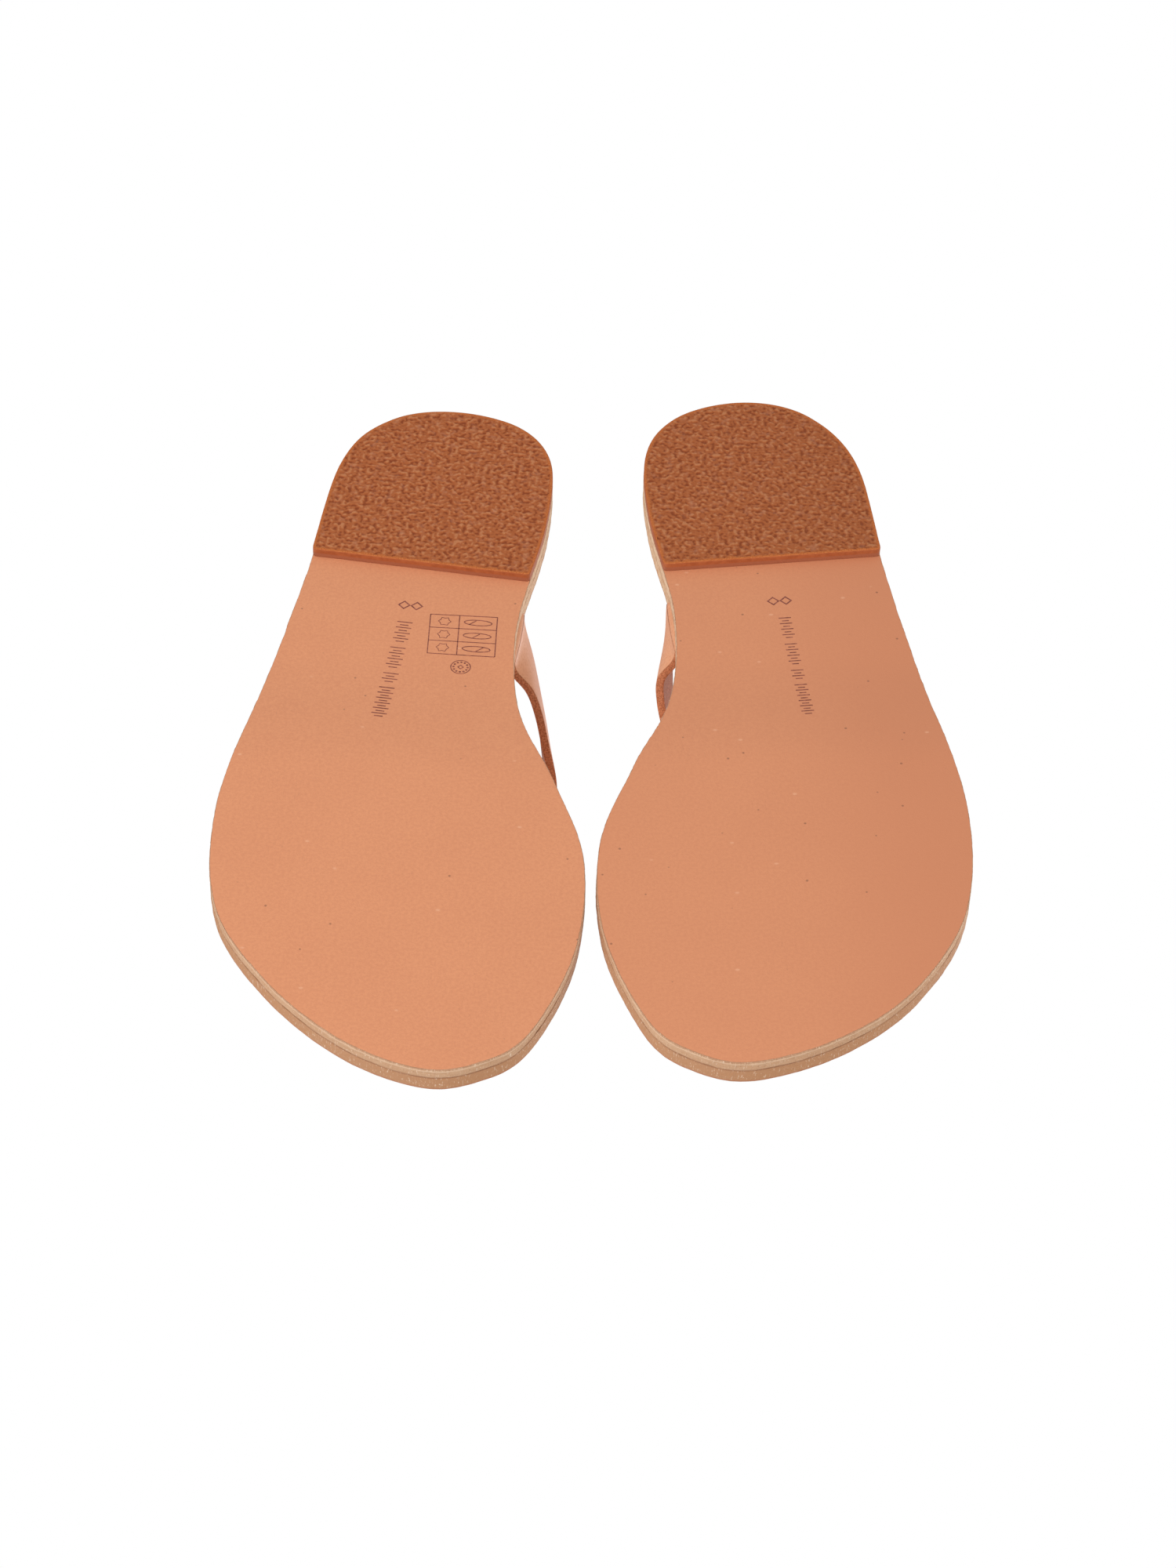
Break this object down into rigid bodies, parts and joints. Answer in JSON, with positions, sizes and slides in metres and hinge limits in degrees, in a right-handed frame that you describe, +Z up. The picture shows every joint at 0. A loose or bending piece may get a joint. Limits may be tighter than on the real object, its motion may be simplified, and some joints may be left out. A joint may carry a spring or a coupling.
{
  "type": "thong sandals",
  "caption": "Flat leather thong sandals, left and right, each with a layered sole, rubber heel pad, V-shaped strap and toe loop.",
  "frame": {"origin": "on the floor under the middle of the pair's box", "axes": "+Z up from the floor through the footbed, -Y towards the toes, +X towards the left sandal's outer side"},
  "size_m": [0.1956, 0.2612, 0.0466],
  "materials": {
    "outsole_leather": "matte vegetable-tanned grain leather",
    "footbed_leather": "smooth vegetable-tanned grain leather",
    "strap_leather": "satin grain outside, brown suede inside",
    "heel_rubber": "granular crepe texture"
  },
  "bodies": {
    "left_rear": {"left_heel_pad": "heel_rubber", "left_outsole_rear": "outsole_leather", "left_footbed_rear": "footbed_leather", "left_strap_inner_arm": "strap_leather", "left_strap_outer_arm": "strap_leather", "left_strap_inner_bridge": "strap_leather", "left_strap_outer_bridge": "strap_leather"},
    "left_forepart": {"left_outsole_forepart": "outsole_leather", "left_footbed_forepart": "footbed_leather", "left_strap_front": "strap_leather", "left_toe_loop": "strap_leather"},
    "right_rear": {"right_heel_pad": "heel_rubber", "right_outsole_rear": "outsole_leather", "right_footbed_rear": "footbed_leather", "right_strap_inner_arm": "strap_leather", "right_strap_outer_arm": "strap_leather", "right_strap_inner_bridge": "strap_leather", "right_strap_outer_bridge": "strap_leather"},
    "right_forepart": {"right_outsole_forepart": "outsole_leather", "right_footbed_forepart": "footbed_leather", "right_strap_front": "strap_leather", "right_toe_loop": "strap_leather"}
  },
  "joints": [
    {"name": "left_ball_flex", "type": "hinge", "parent": "left_rear", "child": "left_forepart", "pos_m": [0.05505, -0.05177, 0.0075], "axis": [-0.9978, -0.067, 0], "range_deg": [0, 30], "stiffness_Nm_per_rad": 1.5, "deforming": ["left_strap_inner_bridge", "left_strap_outer_bridge"]},
    {"name": "right_sandal_aside", "type": "slide", "parent": "left_rear", "child": "right_rear", "axis": [-1, 0, 0], "range_m": [0, 0.05]},
    {"name": "right_ball_flex", "type": "hinge", "parent": "right_rear", "child": "right_forepart", "pos_m": [-0.05502, -0.04484, 0.0075], "axis": [-0.9964, 0.0845, 0], "range_deg": [0, 30], "stiffness_Nm_per_rad": 1.5, "deforming": ["right_strap_inner_bridge", "right_strap_outer_bridge"]}
  ]
}
